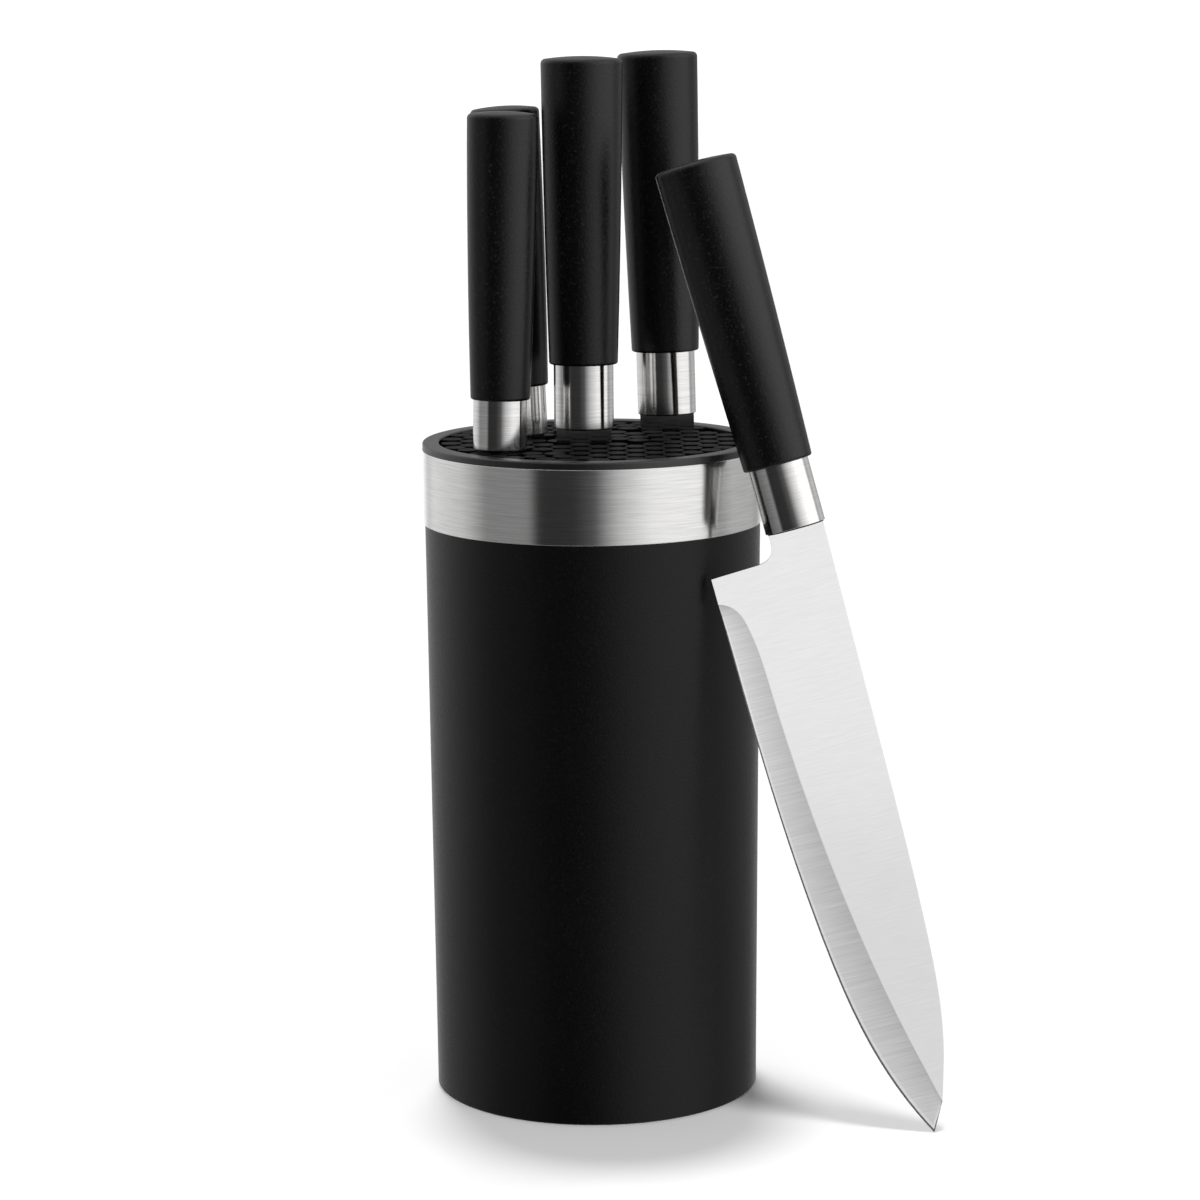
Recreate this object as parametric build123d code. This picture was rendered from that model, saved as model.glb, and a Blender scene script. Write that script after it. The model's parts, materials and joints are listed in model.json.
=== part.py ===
from build123d import *
import math
import os

# Knife block: a round moulded cup with a steel trim band, filled with upright flexible rods.
# Four knives stand between the rods and a chef's knife leans against the front of the block.
# Millimetres, +Z up, origin at the middle of the flat underside. The knife faces look along -Y.

# ---------------------------------------------------------------- driving dimensions
# cup
base_radius = 53.85
seat_radius = 55.4
wall = 2.4
floor_thickness = 3.0
pad_radius = 49.0
pad_thickness = 2.0
pad_proud = 0.5
base_edge_radius = 0.6

# steel band and top ring
band_bottom = 192.0
band_top = 216.2
band_thickness = 0.6
block_height = 218.5
ring_outer = 55.9
ring_inner = 50.5
ring_edge_radius = 0.5
skirt_thickness = 2.0
skirt_depth = 11.0

# rod insert
plate_thickness = 3.0
plate_radius = 50.6
rod_radius = 3.55
rod_top = 218.2
rod_edge_radius = 0.3
field_pitch_x = 12.1
field_pitch_y = 10.5
field_x = -3.9
field_y = 1.68
field_spill = 2.6
rod_gap = 0.15
slot_clearance = 0.35

# knives: every section of a handle or ferrule is an oval, this much as deep as it is wide
oval = 0.72
blade_thickness = 2.0
edge_thickness = 0.24
ferrule_wall = 0.6
plug_proud = 0.4
stub_length = 9.0
handle_edge_radius = 1.6
handle_foot_radius = 0.8
handle_crown = 1.0
neck_top = 3.0
throat_share = 0.28
heel_slope = 0.04
tang_width = 10.0
tang_share = 0.8

LARGE = {
    "ferrule": 9.8,
    "ferrule_length": 20.9,
    "handle_foot": 11.25,
    "handle_butt": 13.3,
    "handle_bulge": 0.25,
    "handle_length": 99.8,
    "neck": 9.05,
}
SMALL = {
    "ferrule": 8.7,
    "ferrule_length": 16.05,
    "handle_foot": 9.6,
    "handle_butt": 11.35,
    "handle_bulge": 0.35,
    "handle_length": 92.25,
    "neck": 7.6,
}

# Blade outlines as (depth below the ferrule, distance from the handle's axis towards the edge).
# "throat" is the depth where the straight neck starts to widen towards the heel.
# "edge" starts at the heel and "spine" at the neck, and both stop short of the tip.
# "bevel" is where the ground flank starts; "bevel_end" is where it runs out on the spine.
CHEF = {
    "throat": 3.0,
    "edge": [(9.1, 30.4), (70, 30.2), (128, 27.25), (170.3, 20.8)],
    "tip": (201.25, 8.85),
    "spine": [(90, -7.6), (137, -6.1), (176, -1.1)],
    "bevel": [(17.6, 30.4), (19.1, 27.0), (22.2, 24.5), (26.6, 23.1), (50, 21.3), (119.5, 16.4), (163, 9.7)],
    "bevel_end": (192, 3.7),
    "scallop": 0,
}
CARVING = {
    "throat": 7.5,
    "edge": [(14, 21.5), (100, 20.6), (165, 15.2)],
    "tip": (201, -1.0),
    "spine": [(110, -8.6), (165, -7.0)],
    "bevel": [(20, 21.5), (26, 15.0), (100, 11.6), (165, 5.0)],
    "bevel_end": (190, -4.4),
    "scallop": 0,
}
BREAD = {
    "throat": 7.5,
    "edge": [(14, 20.5), (110, 20.3), (175, 17.6)],
    "tip": (201, 8.0),
    "spine": [(120, -8.4), (170, -6.2)],
    "bevel": [(20, 20.5), (25, 15.5), (110, 14.6), (170, 11.0)],
    "bevel_end": (192, 1.2),
    "scallop": 7.0,
}
UTILITY = {
    "throat": 3.0,
    "edge": [(7, 12.3), (60, 11.8), (100, 8.2)],
    "tip": (126, -1.0),
    "spine": [(70, -6.9), (105, -5.6)],
    "bevel": [(11, 12.3), (15, 8.2), (60, 6.6), (98, 3.0)],
    "bevel_end": (118, -3.6),
    "scallop": 0,
}
PARING = {
    "throat": 3.0,
    "edge": [(6, 10.6), (42, 10.0), (70, 6.4)],
    "tip": (90, -1.6),
    "spine": [(50, -6.8), (74, -5.8)],
    "bevel": [(9, 10.6), (13, 6.8), (42, 5.4), (68, 1.8)],
    "bevel_end": (83, -4.2),
    "scallop": 0,
}

# Knives in the block: the middle of the ferrule's lower end, the sideways lean of the axis in
# degrees (positive leans right) and the side the edge faces (+1 right, -1 left).
STANDING = {
    "carving": {"size": LARGE, "blade": CARVING, "foot": (-2.6, -3.9, 223.2), "lean": 0.1, "side": 1},
    "bread": {"size": LARGE, "blade": BREAD, "foot": (25.3, 26.5, 224.0), "lean": -1.3, "side": -1},
    "utility": {"size": SMALL, "blade": UTILITY, "foot": (-29.8, -24.5, 219.1), "lean": 1.15, "side": 1},
    "paring": {"size": SMALL, "blade": PARING, "foot": (-23.3, 11.4, 219.3), "lean": -2.4, "side": -1},
}

# The chef's knife outside the block: its tip is on the table and its handle leans to the rim.
chef_foot = (64.75, -43.0, 195.6)
chef_butt = (33.8, -31.5, 309.1)
chef_tip = (108.8, -62.28, 0.0)


# ---------------------------------------------------------------- block
def turned(points):
    """Solid of revolution about Z from (radius, height) points."""
    return revolve(Plane.XZ * make_face(Polyline(*points, close=True)), Axis.Z)


def ring_edges(solid, z, radius):
    """The circular edges at this height and radius."""
    return [
        e
        for e in solid.edges().filter_by(GeomType.CIRCLE)
        if abs(e.center().Z - z) < 0.01 and abs(e.radius - radius) < 0.01
    ]


def outer_shell():
    """Cup with draft: a recess for the pad below, a plain seat for the band above."""
    under = pad_proud
    floor = pad_thickness + floor_thickness
    shell = turned(
        [
            (0, pad_thickness),
            (pad_radius, pad_thickness),
            (pad_radius, under),
            (base_radius, under),
            (seat_radius, band_bottom),
            (seat_radius, band_top),
            (seat_radius - wall, band_top),
            (seat_radius - wall, band_bottom),
            (base_radius - wall, floor),
            (0, floor),
        ]
    )
    return fillet(ring_edges(shell, under, base_radius), base_edge_radius)


def trim_band():
    """Steel sleeve pushed over the seat."""
    outer = Cylinder(seat_radius + band_thickness, band_top - band_bottom)
    inner = Cylinder(seat_radius, band_top - band_bottom)
    return Pos(0, 0, (band_bottom + band_top) / 2) * (outer - inner)


def top_ring():
    """Rim that closes the band, with a skirt down inside the cup."""
    skirt = ring_inner + skirt_thickness
    ring = turned(
        [
            (ring_inner, band_top - skirt_depth),
            (skirt, band_top - skirt_depth),
            (skirt, band_top),
            (ring_outer, band_top),
            (ring_outer, block_height),
            (ring_inner, block_height),
        ]
    )
    corners = ring_edges(ring, block_height, ring_outer) + ring_edges(ring, block_height, ring_inner)
    return fillet(corners, ring_edge_radius)


def base_pad():
    """Non-slip disc that the block stands on."""
    return Pos(0, 0, pad_thickness / 2) * Cylinder(pad_radius, pad_thickness)


def rod_plate():
    """Plate on the cup's floor that carries the rods."""
    low = pad_thickness + floor_thickness
    return Pos(0, 0, low + plate_thickness / 2) * Cylinder(plate_radius, plate_thickness)


# ---------------------------------------------------------------- rods
def staggered_field():
    """Centres of the undisturbed field: two rods in each cell, out to just past the ring."""
    reach = ring_inner - rod_radius + field_spill
    centres = []
    for row in range(-10, 11):
        for column in range(-6, 7):
            x = field_x + (column + (row % 2) / 2) * field_pitch_x
            y = field_y + row * field_pitch_y / 2
            if math.hypot(x, y) <= reach:
                centres.append([x, y])
    return centres


def blade_reach(knife):
    """Leftmost and rightmost x that the blade takes below the top of the rods, and its y."""
    x, y, z = knife["foot"]
    blade = knife["blade"]
    slope = math.tan(math.radians(knife["lean"]))
    widest = max(v for d, v in blade["edge"])
    spine = -knife["size"]["neck"]
    drift = [slope * (rod_top - z), -slope * blade["tip"][0]]
    sides = [knife["side"] * widest, knife["side"] * spine]
    return x + min(drift) + min(sides), x + max(drift) + max(sides), y


def push(centre, x, y, distance):
    """Move a centre straight away from a point until it is at least this far from it."""
    dx = centre[0] - x
    dy = centre[1] - y
    now = math.hypot(dx, dy)
    if now < distance:
        centre[0] = x + dx * distance / now
        centre[1] = y + dy * distance / now


def make_room(centres, slots):
    """Let the field give way around each blade and inside the ring, as flexible rods do."""
    reach = ring_inner - rod_radius - rod_gap
    apart = 2 * rod_radius + rod_gap
    beside = rod_radius + blade_thickness / 2 + slot_clearance
    for _ in range(400):
        for i, a in enumerate(centres):
            for b in centres[i + 1 :]:
                dx = b[0] - a[0]
                dy = b[1] - a[1]
                now = math.hypot(dx, dy)
                if now < apart:
                    share = (apart - now) / now / 2
                    a[0] -= dx * share
                    a[1] -= dy * share
                    b[0] += dx * share
                    b[1] += dy * share
        for c in centres:
            for left, right, y in slots:
                push(c, min(max(c[0], left), right), y, beside)
            now = math.hypot(*c)
            if now > reach:
                c[0] *= reach / now
                c[1] *= reach / now
    return centres


def flex_rods():
    """Upright rods with flat, softly edged ends, one solid each, standing on the plate."""
    low = pad_thickness + floor_thickness + plate_thickness
    rod = turned([(0, low), (rod_radius, low), (rod_radius, rod_top), (0, rod_top)])
    rod = fillet(ring_edges(rod, rod_top, rod_radius), rod_edge_radius)
    slots = [blade_reach(k) for k in STANDING.values()]
    centres = make_room(staggered_field(), slots)
    return Compound(children=[Pos(x, y, 0) * rod for x, y in centres])


# ---------------------------------------------------------------- knives
# A knife is built upright: Z runs up the handle from the ferrule's lower end, X points to the
# edge and Y is across the blade.
def oval_turned(face):
    """Revolve a half section about Z and flatten it across the blade."""
    return scale(revolve(Plane.XZ * face, Axis.Z), by=(1, oval, 1))


def handle(size):
    """Tapered grip with a crowned butt, and a stub that fills the upper part of the ferrule."""
    foot = size["ferrule_length"]
    top = foot + size["handle_length"]
    inner = size["ferrule"] - ferrule_wall
    corner = (size["handle_foot"], foot)
    shoulder = (size["handle_butt"], top - handle_crown)
    middle = ((corner[0] + shoulder[0]) / 2 + size["handle_bulge"], (corner[1] + shoulder[1]) / 2)
    inside = Polyline(
        (0, top),
        (0, foot - stub_length),
        (inner, foot - stub_length),
        (inner, foot),
        corner,
    )
    flank = ThreePointArc(corner, middle, shoulder)
    crown = TangentArc((0, top), shoulder, tangent=(1, 0))
    section = make_face([inside, flank, crown])
    corners = section.vertices()
    butt = corners.sort_by_distance(Vector(*shoulder))[0]
    section = fillet(butt, handle_edge_radius)
    lower = section.vertices().sort_by_distance(Vector(*corner))[0]
    return oval_turned(fillet(lower, handle_foot_radius))


def ferrule(size):
    """Steel tube between blade and grip."""
    outer = size["ferrule"]
    wide = Rectangle(ferrule_wall, size["ferrule_length"], align=(Align.MAX, Align.MIN))
    return oval_turned(Pos(outer, 0) * wide)


def ferrule_plug(size):
    """Closes the ferrule around the neck and stands a little proud of it."""
    length = size["ferrule_length"] - stub_length + plug_proud
    half = Rectangle(size["ferrule"] - ferrule_wall, length, align=(Align.MIN, Align.MIN))
    return oval_turned(Pos(0, -plug_proud) * half)


def blade_outline(size, blade, ground):
    """Blade outline in X and Z. With ground=True the ground flank is left off."""

    def at(point):
        return (point[1], -point[0])

    neck = size["neck"]
    throat_top = at((blade["throat"], neck))
    heel_depth, heel_v = blade["edge"][0]
    bevel_start = blade["bevel"][0]
    throat = (heel_depth - heel_slope * 10, neck + throat_share * (heel_v - neck))
    left = Line((neck, neck_top), throat_top)
    fillet_line = Spline(throat_top, at(throat), tangents=[(0, -1), (1, -heel_slope)])
    top_of_heel = Line(at(throat), at((heel_depth, heel_v)))
    heel = Line(at((heel_depth, heel_v)), at(bevel_start))
    if ground:
        flank = [at(p) for p in blade["bevel"]]
        last = at(blade["bevel_end"])
        middle = at(
            (
                (blade["bevel"][-1][0] + blade["bevel_end"][0]) / 2,
                (blade["bevel"][-1][1] + blade["bevel_end"][1]) / 2,
            )
        )
        edge = Spline(*flank, middle)
        tip = Line(middle, last)
    else:
        edge = Spline(at(bevel_start), *[at(p) for p in blade["edge"][1:]], at(blade["tip"]))
        tip = Line(at(blade["tip"]), at(blade["bevel_end"]))
    back = [at(p) for p in blade["spine"]]
    straight = Line((-neck, neck_top), back[0])
    end = at(blade["bevel_end"])
    run_out = (end[0] - back[-1][0], end[1] - back[-1][1])
    spine = Spline(*back, end, tangents=[straight % 1, run_out])
    top = Line((-neck, neck_top), (neck, neck_top))
    outline = [left, fillet_line, top_of_heel, heel, edge, tip, spine, straight, top]
    return Plane.XZ * make_face(outline)


def knife_blade(size, blade):
    """Flat blade with two ground flanks, its neck and the tang in the handle."""
    flat = blade_outline(size, blade, ground=True)
    full = blade_outline(size, blade, ground=False)
    half = blade_thickness / 2
    thin = edge_thickness / 2
    flank = loft([Pos(0, thin, 0) * full, Pos(0, half, 0) * flat], ruled=True)
    web = extrude(full, thin, both=True)
    body = web + flank + mirror(flank, Plane.XZ)
    tang_length = tang_share * size["handle_length"] + size["ferrule_length"]
    body += Box(tang_width, blade_thickness, tang_length, align=(Align.CENTER, Align.CENTER, Align.MIN))
    if blade["scallop"]:
        body -= scallops(blade)
    return body


def scallops(blade):
    """Round bites along a serrated edge."""
    pitch = blade["scallop"]
    start, stop = blade["edge"][0][0], blade["edge"][-1][0]
    bites = []
    for i in range(int((stop - start) / pitch)):
        depth = start + (i + 0.7) * pitch
        line = blade["edge"][0][1] + 0.4 - 2.6 * max(0, depth - 110) ** 2 / 65**2
        bite = Rot(90, 0, 0) * Cylinder(pitch * 0.62, 4 * blade_thickness)
        bites.append(Pos(line + pitch * 0.36, 0, -depth) * bite)
    return bites


def knife(size, blade):
    """The four pieces of a knife, upright on its own axis."""
    steel = knife_blade(size, blade)
    return {
        "blade": steel,
        "ferrule": ferrule(size),
        "ferrule_plug": ferrule_plug(size) - steel,
        "handle": handle(size) - steel,
    }


def standing_place(knife_in_block):
    """Plane of a knife in the block: Z up its axis and X towards its edge."""
    lean = math.radians(knife_in_block["lean"])
    up = Vector(math.sin(lean), 0, math.cos(lean))
    toward_edge = Vector(math.cos(lean), 0, -math.sin(lean)) * knife_in_block["side"]
    return Plane(origin=knife_in_block["foot"], x_dir=toward_edge, z_dir=up)


def leaning_place():
    """Plane of the chef's knife: its axis passes foot and butt, its blade reaches the tip."""
    foot = Vector(*chef_foot)
    up = (Vector(*chef_butt) - foot).normalized()
    to_tip = Vector(*chef_tip) - foot
    toward_edge = (to_tip - up * to_tip.dot(up)).normalized()
    return Plane(origin=foot, x_dir=toward_edge, z_dir=up)


def rest_on_table(pieces):
    """Shift a knife straight up or down until its tip just touches the table."""
    lift = -pieces["blade"].bounding_box().min.Z
    return {name: Pos(0, 0, lift) * piece for name, piece in pieces.items()}


# ---------------------------------------------------------------- write
def all_nodes():
    nodes = {
        "outer_shell": outer_shell(),
        "trim_band": trim_band(),
        "top_ring": top_ring(),
        "base_pad": base_pad(),
        "rod_plate": rod_plate(),
        "flex_rods": flex_rods(),
    }
    for name, one in STANDING.items():
        place = standing_place(one).location
        for piece, shape in knife(one["size"], one["blade"]).items():
            nodes[f"{name}_{piece}"] = place * shape
    place = leaning_place().location
    placed = {piece: place * shape for piece, shape in knife(LARGE, CHEF).items()}
    for piece, shape in rest_on_table(placed).items():
        nodes[f"chef_{piece}"] = shape
    return nodes


os.makedirs("parts", exist_ok=True)
for node, shape in all_nodes().items():
    export_step(shape, f"parts/{node}.step")
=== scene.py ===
import json
import math

import bpy
from mathutils import Matrix, Vector

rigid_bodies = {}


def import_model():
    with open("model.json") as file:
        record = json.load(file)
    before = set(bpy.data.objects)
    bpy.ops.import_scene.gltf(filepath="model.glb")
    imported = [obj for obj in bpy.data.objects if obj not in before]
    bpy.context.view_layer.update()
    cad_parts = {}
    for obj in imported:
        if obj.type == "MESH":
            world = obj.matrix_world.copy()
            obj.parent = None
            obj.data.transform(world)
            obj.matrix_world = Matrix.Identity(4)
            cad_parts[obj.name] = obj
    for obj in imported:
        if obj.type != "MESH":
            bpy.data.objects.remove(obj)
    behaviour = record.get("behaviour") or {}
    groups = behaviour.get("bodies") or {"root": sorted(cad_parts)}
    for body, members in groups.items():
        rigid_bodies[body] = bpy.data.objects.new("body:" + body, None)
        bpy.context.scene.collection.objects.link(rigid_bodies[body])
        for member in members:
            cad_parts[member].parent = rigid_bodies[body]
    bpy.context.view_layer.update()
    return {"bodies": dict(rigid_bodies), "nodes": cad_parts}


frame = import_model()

# ---------------------------------------------------------------- what the frame says
KNIVES = [body for body in frame["bodies"] if body.endswith("_knife")]
UPRIGHT = (0.0, 0.0, 1.0)

# A knife whose axis has a smaller upward part than this leans outside the block.
LEAST_UPRIGHT = 0.98


def node_of(knife, part):
    """Name of the CAD node that is a part of a knife."""
    return f"{knife.removesuffix('_knife')}_{part}"


def centre(node):
    """Mean of a node's vertices, in the frame."""
    vertices = frame["nodes"][node].data.vertices
    return sum((v.co for v in vertices), Vector()) / len(vertices)


def knife_axis(knife):
    """Unit vector up a knife's handle, from its ferrule to its grip."""
    return (centre(node_of(knife, "handle")) - centre(node_of(knife, "ferrule"))).normalized()


def blade_normal(mesh):
    """Unit vector out of a blade's flat face, on the side of the block's front."""
    widest = max(mesh.polygons, key=lambda p: p.area if p.normal.y < 0 else 0)
    return widest.normal.copy()


def blade_slab(mesh, normal):
    """Where a blade's two flat faces lie along its normal: their middle and half their distance."""
    places = [v.co.dot(normal) for v in mesh.vertices]
    return (max(places) + min(places)) / 2, (max(places) - min(places)) / 2


STANDING = [knife for knife in KNIVES if knife_axis(knife).z > LEAST_UPRIGHT]
LEANING = [knife for knife in KNIVES if knife not in STANDING]


# ---------------------------------------------------------------- node helpers
def new_material(name):
    """An empty node material, and its tree."""
    material = bpy.data.materials.new(name)
    material.use_nodes = True
    tree = material.node_tree
    tree.nodes.clear()
    return material, tree


def add(tree, kind, settings=None, **sockets):
    """Add a node. A socket is named, or numbered as in _0, and takes a value or another node's socket."""
    node = tree.nodes.new(kind)
    for key, value in (settings or {}).items():
        setattr(node, key, value)
    for key, value in sockets.items():
        socket = node.inputs[int(key[1:])] if key[0] == "_" else node.inputs[key.replace("_", " ")]
        if isinstance(value, bpy.types.NodeSocket):
            tree.links.new(value, socket)
        else:
            socket.default_value = value
    return node


def math_node(tree, operation, a, b=0.0):
    return add(tree, "ShaderNodeMath", {"operation": operation}, _0=a, _1=b).outputs[0]


def vector_node(tree, operation, a, b=(0, 0, 0)):
    node = add(tree, "ShaderNodeVectorMath", {"operation": operation}, _0=a, _1=b)
    return node.outputs["Value" if operation == "DOT_PRODUCT" else "Vector"]


def scaled(tree, vector, scale):
    return add(tree, "ShaderNodeVectorMath", {"operation": "SCALE"}, _0=vector, Scale=scale).outputs[0]


def noise(tree, vector, scale, detail, roughness=0.5):
    sockets = {"Vector": vector, "Scale": scale, "Detail": detail, "Roughness": roughness}
    return add(tree, "ShaderNodeTexNoise", None, **sockets).outputs[0]


def spread(tree, value, low, high, to_low, to_high):
    """Map a value from one range to another, held at both ends."""
    sockets = {"Value": value, "From_Min": low, "From_Max": high, "To_Min": to_low, "To_Max": to_high}
    return add(tree, "ShaderNodeMapRange", {"clamp": True}, **sockets).outputs[0]


def number_mix(tree, factor, first, second):
    node = add(tree, "ShaderNodeMix", {"data_type": "FLOAT"}, _0=factor, _2=first, _3=second)
    return node.outputs[0]


def vector_mix(tree, factor, first, second):
    node = add(tree, "ShaderNodeMix", {"data_type": "VECTOR"}, _0=factor, _4=first, _5=second)
    return node.outputs[1]


def colour_mix(tree, factor, first, second):
    """Blend two colours, each plain or from a socket, by a factor."""
    ends = [end if isinstance(end, bpy.types.NodeSocket) else (*end, 1) for end in (first, second)]
    node = add(tree, "ShaderNodeMix", {"data_type": "RGBA"}, _0=factor, _6=ends[0], _7=ends[1])
    return node.outputs[2]


def tinted(colour, factor):
    """A colour made lighter or darker."""
    return [min(1, part * factor) for part in colour]


def ramp(tree, factor, stops, low, high):
    """A grey that follows (place, brightness) stops, with places from low to high."""
    node = add(tree, "ShaderNodeValToRGB", None, Fac=spread(tree, factor, low, high, 0.0, 1.0))
    elements = node.color_ramp.elements
    while len(elements) < len(stops):
        elements.new(0.5)
    for element, (place, value) in zip(elements, stops):
        element.position = (place - low) / (high - low)
        element.color = (value, value, value, 1)
    return node.outputs[0]


def object_point(tree):
    return add(tree, "ShaderNodeTexCoord").outputs["Object"]


def true_normal(tree):
    return add(tree, "ShaderNodeNewGeometry").outputs["Normal"]


def rounded(tree, radius):
    """Normal that catches light along sharp edges as a small rounding would."""
    return add(tree, "ShaderNodeBevel", {"samples": 4}, Radius=radius).outputs[0]


def streaks(tree, point, axis, along, across, detail, roughness):
    """Noise drawn out across an axis: `along` is its scale on the axis, `across` its scale off it."""
    height = vector_node(tree, "DOT_PRODUCT", point, axis)
    up = scaled(tree, axis, height)
    flat = scaled(tree, vector_node(tree, "SUBTRACT", point, up), across)
    turned = vector_node(tree, "ADD", flat, scaled(tree, up, along))
    return noise(tree, turned, 1.0, detail, roughness)


def bumped(tree, height, strength, distance, normal):
    sockets = {"Strength": strength, "Distance": distance, "Height": height, "Normal": normal}
    return add(tree, "ShaderNodeBump", None, **sockets).outputs[0]


def steel_shader(tree, colour, roughness, normal, axis, anisotropic):
    """Steel whose highlights are drawn out along an axis."""
    tangent = add(tree, "ShaderNodeCombineXYZ", None, X=axis[0], Y=axis[1], Z=axis[2]).outputs[0]
    sockets = {"Base_Color": colour, "Roughness": roughness, "Normal": normal, "Tangent": tangent}
    shader = add(tree, "ShaderNodeBsdfPrincipled", None, Metallic=1.0, **sockets)
    shader.inputs["Anisotropic"].default_value = anisotropic
    add(tree, "ShaderNodeOutputMaterial", None, Surface=shader.outputs[0])


# ---------------------------------------------------------------- materials
SHELL_BLACK = (0.0024, 0.0024, 0.0026)
RING_BLACK = (0.004, 0.004, 0.0042)
ROD_BLACK = (0.006, 0.006, 0.0063)
PAD_BLACK = (0.012, 0.012, 0.012)
PLUG_BLACK = (0.002, 0.002, 0.002)
GRIP_BLACK = (0.0016, 0.0016, 0.0018)
BAND_STEEL = (0.79, 0.785, 0.78)
FERRULE_STEEL = (0.76, 0.75, 0.745)
BLADE_STEEL = (0.8, 0.8, 0.8)
TABLE_DARK = (0.93, 0.93, 0.93)
TABLE_LIGHT = (0.95, 0.95, 0.95)

# Noise scales are per metre; radii and bump heights are in metres.
MOTTLE_SCALE = 28.0
WEAR_SCALE = 260.0
# Edge lightening, partly wear and partly painted sheen: its tint, its share of the mix, and its drop in
# roughness
WEAR_AND_SHEEN_TINT = 5
WEAR_AND_SHEEN_SHARE = 0.5
WORN_POLISH = 0.1
GRAIN_STRENGTH = 0.6
GRAIN_HEIGHT = 0.0001
HAIR_HEIGHT = 0.00001

# Brushed steel: how far its streaks go from the mean tone, and how drawn out its highlights are
BRUSHED_DARK = 0.84
BRUSHED_LIGHT = 1.16
BRUSHED_STRETCH = 0.75

# Blades: contrast of the ground lines on the flat face and on the flank, painted shade of the narrow sides,
# how drawn out the highlights are, and how strongly the flat face's normal pulls on the flank's
FLAT_CONTRAST = 0.036
FLANK_CONTRAST = 0.085
SIDE_PAINTED_SHADE = 0.22
SATIN_STRETCH = 0.35
FLAT_PULL = 3


def edge_wear_and_sheen(tree, rounded_normal, point):
    """Where sharp edges are, broken up as handling leaves them: 0 on faces, 1 on edges; it marks wear and
    painted sheen.
    """
    along = vector_node(tree, "DOT_PRODUCT", rounded_normal, true_normal(tree))
    edge = spread(tree, along, 0.85, 0.995, 1.0, 0.0)
    patchy = spread(tree, noise(tree, point, WEAR_SCALE, detail=3.0), 0.35, 0.65, 0.35, 1.0)
    return math_node(tree, "MULTIPLY", edge, patchy)


def soft_touch(name, colour, roughness, grain, edge=0.0004, specular=0.5, glint=3):
    """Matte moulded plastic: fine grain, faint mottling, light specks painted in as glints, edges polished
    by handling and painted lighter as wear and sheen.
    """
    material, tree = new_material(name)
    point = object_point(tree)
    fine = noise(tree, point, grain, detail=3.0, roughness=0.6)
    mottle = spread(tree, noise(tree, point, MOTTLE_SCALE, detail=3.0), 0.3, 0.7, 0.0, 1.0)
    painted_glint_specks = spread(tree, fine, 0.58, 0.7, 0.0, 0.6)
    edge_normal = rounded(tree, edge)
    wear_and_sheen = edge_wear_and_sheen(tree, edge_normal, point)
    shade = colour_mix(tree, mottle, tinted(colour, 0.85), tinted(colour, 1.2))
    # Light specks painted into the colour as glints
    shade = colour_mix(tree, painted_glint_specks, shade, tinted(colour, glint))
    wear_and_sheen_share = math_node(tree, "MULTIPLY", wear_and_sheen, WEAR_AND_SHEEN_SHARE)
    # Edges painted lighter: partly wear, partly painted sheen
    shade = colour_mix(tree, wear_and_sheen_share, shade, tinted(colour, WEAR_AND_SHEEN_TINT))
    grainy = spread(tree, fine, 0.3, 0.7, roughness - 0.05, roughness + 0.06)
    rough = math_node(tree, "SUBTRACT", grainy, math_node(tree, "MULTIPLY", wear_and_sheen, WORN_POLISH))
    normal = bumped(tree, fine, GRAIN_STRENGTH, GRAIN_HEIGHT, edge_normal)
    shader = add(tree, "ShaderNodeBsdfPrincipled", None, Base_Color=shade, Roughness=rough, Normal=normal)
    shader.inputs["Specular IOR Level"].default_value = specular
    add(tree, "ShaderNodeOutputMaterial", None, Surface=shader.outputs[0])
    return material


def brushed(name, axis, colour, roughness):
    """Steel brushed around an axis: fine streaks, highlights drawn out along the axis."""
    material, tree = new_material(name)
    point = object_point(tree)
    hair = streaks(tree, point, axis, along=3000.0, across=60.0, detail=3.0, roughness=0.65)
    wide = streaks(tree, point, axis, along=900.0, across=20.0, detail=2.0, roughness=0.5)
    tone = spread(tree, hair, 0.25, 0.75, 0.0, 1.0)
    shade = colour_mix(tree, tone, tinted(colour, BRUSHED_DARK), tinted(colour, BRUSHED_LIGHT))
    rough = spread(tree, wide, 0.3, 0.7, roughness - 0.015, roughness + 0.015)
    normal = bumped(tree, hair, 0.1, HAIR_HEIGHT, rounded(tree, radius=0.0003))
    steel_shader(tree, shade, rough, normal, axis, BRUSHED_STRETCH)
    return material


def painted_flank_shading(tree, place):
    """How light a hollow ground flank is painted at a place from 0, its cutting edge, to 1, the flat face.

    It darkens towards the flat face as painted shade of the hollow, and has a painted highlight line and
    then a painted dark line by the cutting edge.
    """
    tone = spread(tree, place, 0.2, 0.98, 0.85, 0.66)
    glint = spread(tree, place, 0.2, 0.24, 0.14, 0.0)
    painted_dark_line = spread(tree, place, 0.155, 0.17, 0.16, 1.0)
    return math_node(tree, "MULTIPLY", math_node(tree, "ADD", tone, glint), painted_dark_line)


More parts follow.
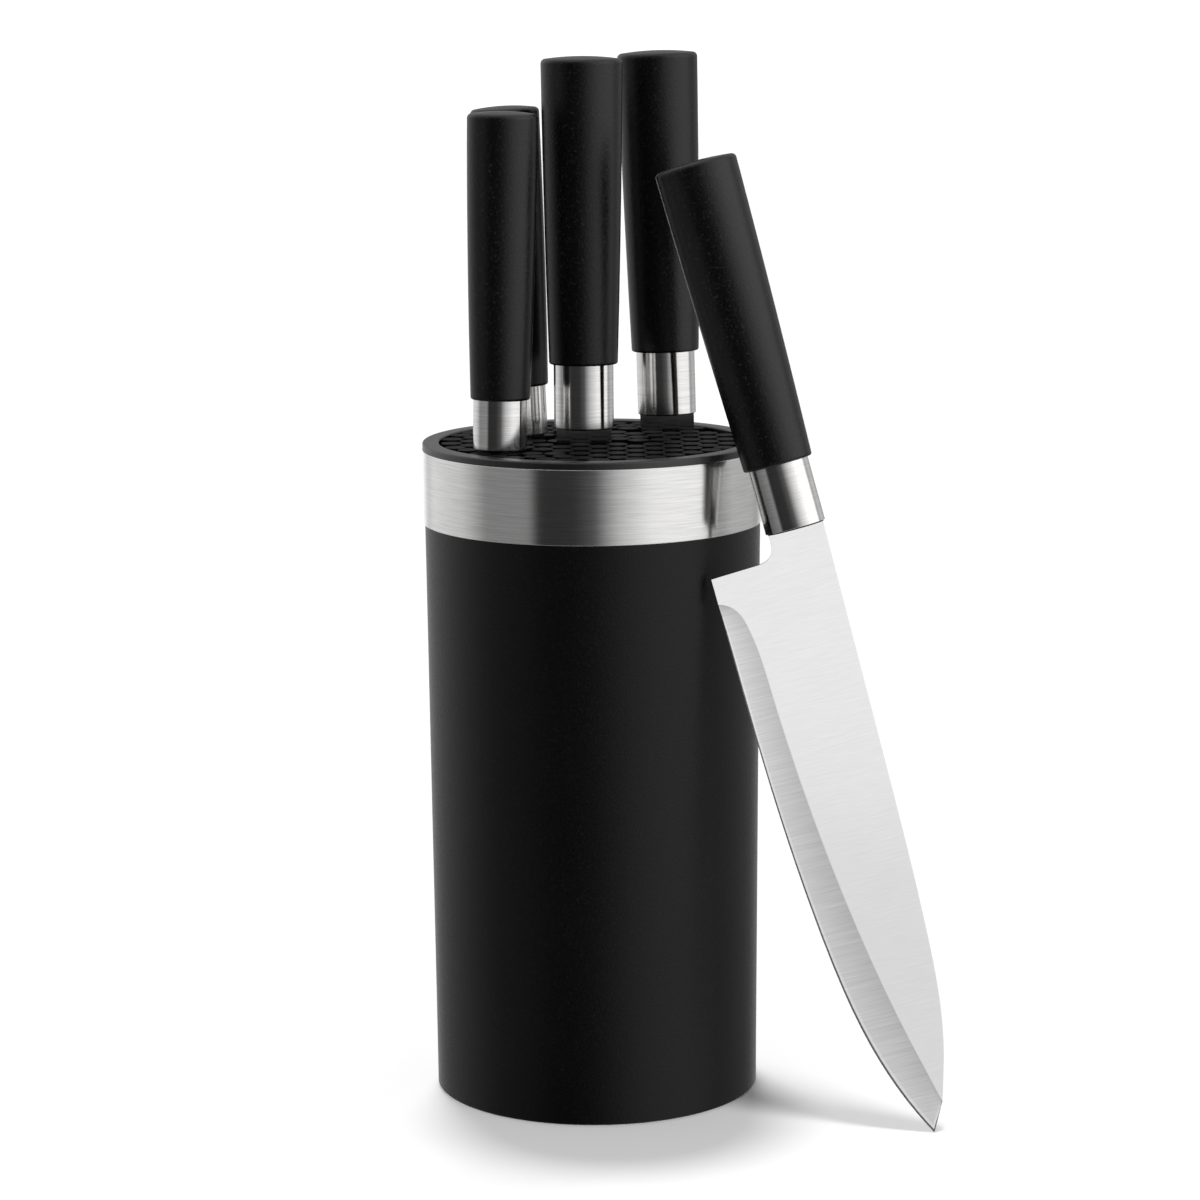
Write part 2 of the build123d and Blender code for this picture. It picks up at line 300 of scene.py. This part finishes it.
def blade_steel(name, axis, mesh, roughness):
    """Satin blade: faint lines across it, a hollow ground flank with clearer lines and painted shading, and
    sides darkened by painted shade.
    """
    material, tree = new_material(name)
    normal = blade_normal(mesh)
    middle, half = blade_slab(mesh, normal)
    point = object_point(tree)
    place = math_node(tree, "SUBTRACT", vector_node(tree, "DOT_PRODUCT", point, tuple(normal)), middle)
    place = math_node(tree, "DIVIDE", math_node(tree, "ABSOLUTE", place), half)

    plain = true_normal(tree)
    toward = vector_node(tree, "DOT_PRODUCT", plain, tuple(normal))
    side = spread(tree, math_node(tree, "ABSOLUTE", toward), 0.2, 0.5, 1.0, 0.0)
    flank = spread(tree, place, 0.97, 0.99, 1.0, 0.0)
    flank = math_node(tree, "MULTIPLY", flank, math_node(tree, "SUBTRACT", 1.0, side))

    fine = streaks(tree, point, axis, along=2600.0, across=130.0, detail=3.0, roughness=0.6)
    cut = streaks(tree, point, axis, along=2400.0, across=55.0, detail=3.0, roughness=0.65)
    cloud = noise(tree, point, scale=60.0, detail=3.0)
    lines = number_mix(tree, flank, fine, cut)
    contrast = spread(tree, flank, 0.0, 1.0, FLAT_CONTRAST, FLANK_CONTRAST)
    swing = math_node(tree, "MULTIPLY", spread(tree, lines, 0.25, 0.75, -1.0, 1.0), contrast)
    swing = math_node(tree, "ADD", swing, spread(tree, cloud, 0.3, 0.7, -0.012, 0.012))
    # Painted shade and a painted highlight line on the flank
    tone = number_mix(tree, flank, 1.0, painted_flank_shading(tree, place))
    # The narrow sides get painted shade
    tone = number_mix(tree, side, tone, SIDE_PAINTED_SHADE)
    shade = scaled(tree, BLADE_STEEL, math_node(tree, "ADD", tone, swing))

    # The flank's normal is eased towards the flat face's, because the real hollow is shallower.
    face_normal = scaled(tree, tuple(normal * FLAT_PULL), math_node(tree, "SIGN", toward))
    eased = vector_node(tree, "NORMALIZE", vector_node(tree, "ADD", plain, face_normal))
    turned = vector_mix(tree, flank, rounded(tree, radius=0.0002), eased)
    strength = spread(tree, flank, 0.0, 1.0, 0.04, 0.05)
    rough = spread(tree, cloud, 0.3, 0.7, roughness - 0.01, roughness + 0.01)
    bump = bumped(tree, lines, strength, HAIR_HEIGHT, turned)
    steel_shader(tree, shade, rough, bump, axis, SATIN_STRETCH)
    return material


def pale_floor(name):
    """Plain pale table top with the faintest unevenness."""
    material, tree = new_material(name)
    cloud = noise(tree, object_point(tree), scale=3.0, detail=2.0)
    shade = colour_mix(tree, cloud, TABLE_DARK, TABLE_LIGHT)
    shader = add(tree, "ShaderNodeBsdfDiffuse", None, Color=shade)
    add(tree, "ShaderNodeOutputMaterial", None, Surface=shader.outputs[0])
    return material


def dress(node, material):
    """Give a CAD node one material."""
    slots = frame["nodes"][node].data.materials
    slots.clear()
    slots.append(material)


def dress_block():
    shell = soft_touch(
        "shell_soft_touch", SHELL_BLACK, roughness=0.38, grain=1300.0, edge=0.0006, specular=0.3, glint=4
    )
    dress("outer_shell", shell)
    dress("trim_band", brushed("band_brushed", UPRIGHT, BAND_STEEL, roughness=0.2))
    dress("top_ring", soft_touch("ring_satin", RING_BLACK, roughness=0.36, grain=2200.0, specular=0.8))
    insert = soft_touch(
        "insert_satin", ROD_BLACK, roughness=0.42, grain=2400.0, edge=0.0002, specular=0.012
    )
    dress("flex_rods", insert)
    dress("rod_plate", insert)
    dress("base_pad", soft_touch("pad_rubber", PAD_BLACK, roughness=0.7, grain=1500.0))


def dress_knife(knife):
    name = knife.removesuffix("_knife")
    axis = tuple(knife_axis(knife))
    satin = 0.14 if knife in LEANING else 0.11
    blade = frame["nodes"][node_of(knife, "blade")].data
    dress(node_of(knife, "blade"), blade_steel(f"{name}_blade_steel", axis, blade, roughness=satin))
    ferrule = brushed(f"{name}_ferrule_brushed", axis, FERRULE_STEEL, roughness=0.12)
    dress(node_of(knife, "ferrule"), ferrule)
    plug = soft_touch(f"{name}_plug_plastic", PLUG_BLACK, roughness=0.5, grain=2200.0, specular=0.2)
    dress(node_of(knife, "ferrule_plug"), plug)
    grip = soft_touch(f"{name}_grip_soft_touch", GRIP_BLACK, roughness=0.33, grain=1200.0, glint=18)
    dress(node_of(knife, "handle"), grip)


# ---------------------------------------------------------------- stage
FLOOR_HALF = 6.0


def make_floor():
    mesh = bpy.data.meshes.new("floor")
    corners = [(x * FLOOR_HALF, y * FLOOR_HALF, 0) for x, y in ((-1, -1), (1, -1), (1, 1), (-1, 1))]
    mesh.from_pydata(corners, [], [(0, 1, 2, 3)])
    floor = bpy.data.objects.new("floor", mesh)
    bpy.context.scene.collection.objects.link(floor)
    mesh.materials.append(pale_floor("floor_pale"))
    floor.visible_glossy = False


# ---------------------------------------------------------------- surroundings
# Studio seen in reflections: (degrees to the right of straight ahead of the front, brightness)
STUDIO = [
    (-180, 0.3),
    (-160, 0.45),
    (-135, 0.84),
    (-100, 0.7),
    (-88, 0.5),
    (-77, 0.27),
    (-44, 0.28),
    (-37, 0.03),
    (-12, 0.035),
    (2, 0.1),
    (18, 0.62),
    (40, 1.08),
    (52, 1.14),
    (82, 1.1),
    (89, 0.45),
    (97, 0.4),
    (108, 0.55),
    (136, 0.5),
    (158, 0.27),
    (180, 0.3),
]

# How the studio's brightness changes with height: (upward part of the direction, factor)
HEIGHTS = [
    (-1.0, 0.9),
    (-0.5, 0.6),
    (-0.36, 0.3),
    (-0.17, 1.0),
    (0.0, 1.0),
    (0.3, 1.35),
    (1.0, 1.35),
]

# A low reflector behind the block, seen only in reflections: its direction, brightness and the
# range over which it fades in
REFLECTOR_WAY = (0.0, 0.93, -0.37)
REFLECTOR = 0.8
REFLECTOR_FADE = (0.84, 0.96)

# Table and ceiling in reflections: colour, and the range of height over which the walls end
TABLE_MIRRORED = (0.6, 0.6, 0.6)
TABLE_FADE = (-0.86, -0.7)
CEILING_MIRRORED = (1.0, 1.0, 1.0)
CEILING_FADE = (0.5, 0.85)

# White surroundings: their brightness as light, and as the camera sees them
AMBIENT = 0.25
BACKDROP = 1.15


def mirrored_studio(tree):
    """The surroundings as reflections show them: striped walls, pale table, white ceiling."""
    way = add(tree, "ShaderNodeTexCoord").outputs["Generated"]
    axes = add(tree, "ShaderNodeSeparateXYZ", None, Vector=way).outputs
    angle = math_node(tree, "ARCTAN2", axes["X"], math_node(tree, "MULTIPLY", axes["Y"], -1.0))
    stops = [(math.radians(degrees), value) for degrees, value in STUDIO]
    around = ramp(tree, angle, stops, -math.pi, math.pi)
    walls = vector_node(tree, "MULTIPLY", around, ramp(tree, axes["Z"], HEIGHTS, -1.0, 1.0))
    toward = vector_node(tree, "DOT_PRODUCT", way, REFLECTOR_WAY)
    walls = vector_node(tree, "ADD", walls, spread(tree, toward, *REFLECTOR_FADE, 0.0, REFLECTOR))
    table = spread(tree, axes["Z"], *TABLE_FADE, 1.0, 0.0)
    ceiling = spread(tree, axes["Z"], *CEILING_FADE, 0.0, 1.0)
    return colour_mix(tree, ceiling, colour_mix(tree, table, walls, TABLE_MIRRORED), CEILING_MIRRORED)


def make_world():
    """White surroundings for eye and shade, and a studio of cards in reflections."""
    world = bpy.data.worlds.new("studio")
    bpy.context.scene.world = world
    world.use_nodes = True
    tree = world.node_tree
    tree.nodes.clear()
    white = (1, 1, 1, 1)
    path = add(tree, "ShaderNodeLightPath").outputs
    plain = add(tree, "ShaderNodeBackground", None, Color=white, Strength=AMBIENT).outputs[0]
    mirrored = add(tree, "ShaderNodeBackground", None, Color=mirrored_studio(tree)).outputs[0]
    backdrop = add(tree, "ShaderNodeBackground", None, Color=white, Strength=BACKDROP).outputs[0]
    lit = add(tree, "ShaderNodeMixShader", None, _0=path["Is Glossy Ray"], _1=plain, _2=mirrored).outputs[0]
    seen = add(tree, "ShaderNodeMixShader", None, _0=path["Is Camera Ray"], _1=lit, _2=backdrop).outputs[0]
    add(tree, "ShaderNodeOutputWorld", None, Surface=seen)


# ---------------------------------------------------------------- lights
# Broad lights overhead: (name, strength, place that they shine from, degrees across, bodies that block them)
SOFTBOXES = [
    ("rear_softbox", 1.56, (-0.03, 0.205, 1.0), 8, ["block", *STANDING]),
    ("front_softbox", 1.2, (0.0, -0.11, 1.0), 8, LEANING),
]

# Cards that only these knives' blades mirror: (name, place, width, brightness)
LEANING_CARDS = [
    ("blade_card", (-0.52, -1.51, 0.18), 2.4, 0.77),
    ("blade_glow", (0.0, -1.6, 0.48), 1.0, 0.18),
    ("blade_left", (-1.545, -0.414, 0.1), 1.5, 0.4),
]
STANDING_CARDS = [
    ("drawn_front", (0.0, -1.6, 0.2), 1.6, 0.25),
    ("drawn_left", (-1.27, -0.97, 0.2), 1.5, 0.6),
]
CARD_TARGET = (0.09, 0, 0.1)


def place_light(name, kind, place, target):
    """A new light of a kind, turned to a target, and its data."""
    data = bpy.data.lights.new(name, kind)
    light = bpy.data.objects.new(name, data)
    bpy.context.scene.collection.objects.link(light)
    light.location = place
    direction = Vector(target) - light.location
    light.rotation_euler = direction.to_track_quat("-Z", "Y").to_euler()
    return light, data


def collect(name, things):
    """A collection of objects for light linking."""
    collection = bpy.data.collections.new(name)
    for thing in things:
        collection.objects.link(thing)
    return collection


def make_softbox(name, strength, place, degrees, bodies):
    light, data = place_light(name, "SUN", place, (0, 0, 0))
    data.energy = strength
    data.angle = math.radians(degrees)
    light.visible_glossy = False
    pieces = [piece for body in bodies for piece in frame["bodies"][body].children]
    light.light_linking.blocker_collection = collect(f"{name}_blockers", pieces)


def make_card(name, place, width, brightness, blades):
    light, data = place_light(name, "AREA", place, CARD_TARGET)
    data.shape = "DISK"
    data.size = width
    data.energy = brightness * (math.pi * width / 2) ** 2
    light.light_linking.receiver_collection = blades


def make_lights():
    for softbox in SOFTBOXES:
        make_softbox(*softbox)
    for group, knives, cards in (
        ("leaning", LEANING, LEANING_CARDS),
        ("standing", STANDING, STANDING_CARDS),
    ):
        blades = collect(f"{group}_blades", [frame["nodes"][node_of(knife, "blade")] for knife in knives])
        for card in cards:
            make_card(*card, blades)


# ---------------------------------------------------------------- camera
CAMERA_PLACE = (0, -1.2297, 0.3823)
CAMERA_PITCH = math.radians(-10.03)
CAMERA_PAN = 0.0018
CAMERA_ROLL = -0.0080
LENS_MM = 112.8
SENSOR_MM = 36.0
NEAREST = 0.05


def make_camera():
    """Seen from in front and a little above, with a long lens."""
    across = math.cos(CAMERA_PITCH)
    forward = Vector(
        (math.sin(CAMERA_PAN) * across, math.cos(CAMERA_PAN) * across, math.sin(CAMERA_PITCH))
    )
    level = Vector((math.cos(CAMERA_PAN), -math.sin(CAMERA_PAN), 0))
    up = level.cross(forward)
    right = math.cos(CAMERA_ROLL) * level + math.sin(CAMERA_ROLL) * up
    over = math.cos(CAMERA_ROLL) * up - math.sin(CAMERA_ROLL) * level
    data = bpy.data.cameras.new("camera")
    data.lens = LENS_MM
    data.sensor_width = SENSOR_MM
    data.clip_start = NEAREST
    camera = bpy.data.objects.new("camera", data)
    bpy.context.scene.collection.objects.link(camera)
    turn = Matrix((right, over, -forward)).transposed().to_4x4()
    camera.matrix_world = Matrix.Translation(CAMERA_PLACE) @ turn
    bpy.context.scene.camera = camera


make_camera()
make_world()
make_lights()
make_floor()
dress_block()
for body in KNIVES:
    dress_knife(body)

bpy.context.scene.view_settings.view_transform = "Standard"
bpy.context.scene.view_settings.look = "None"
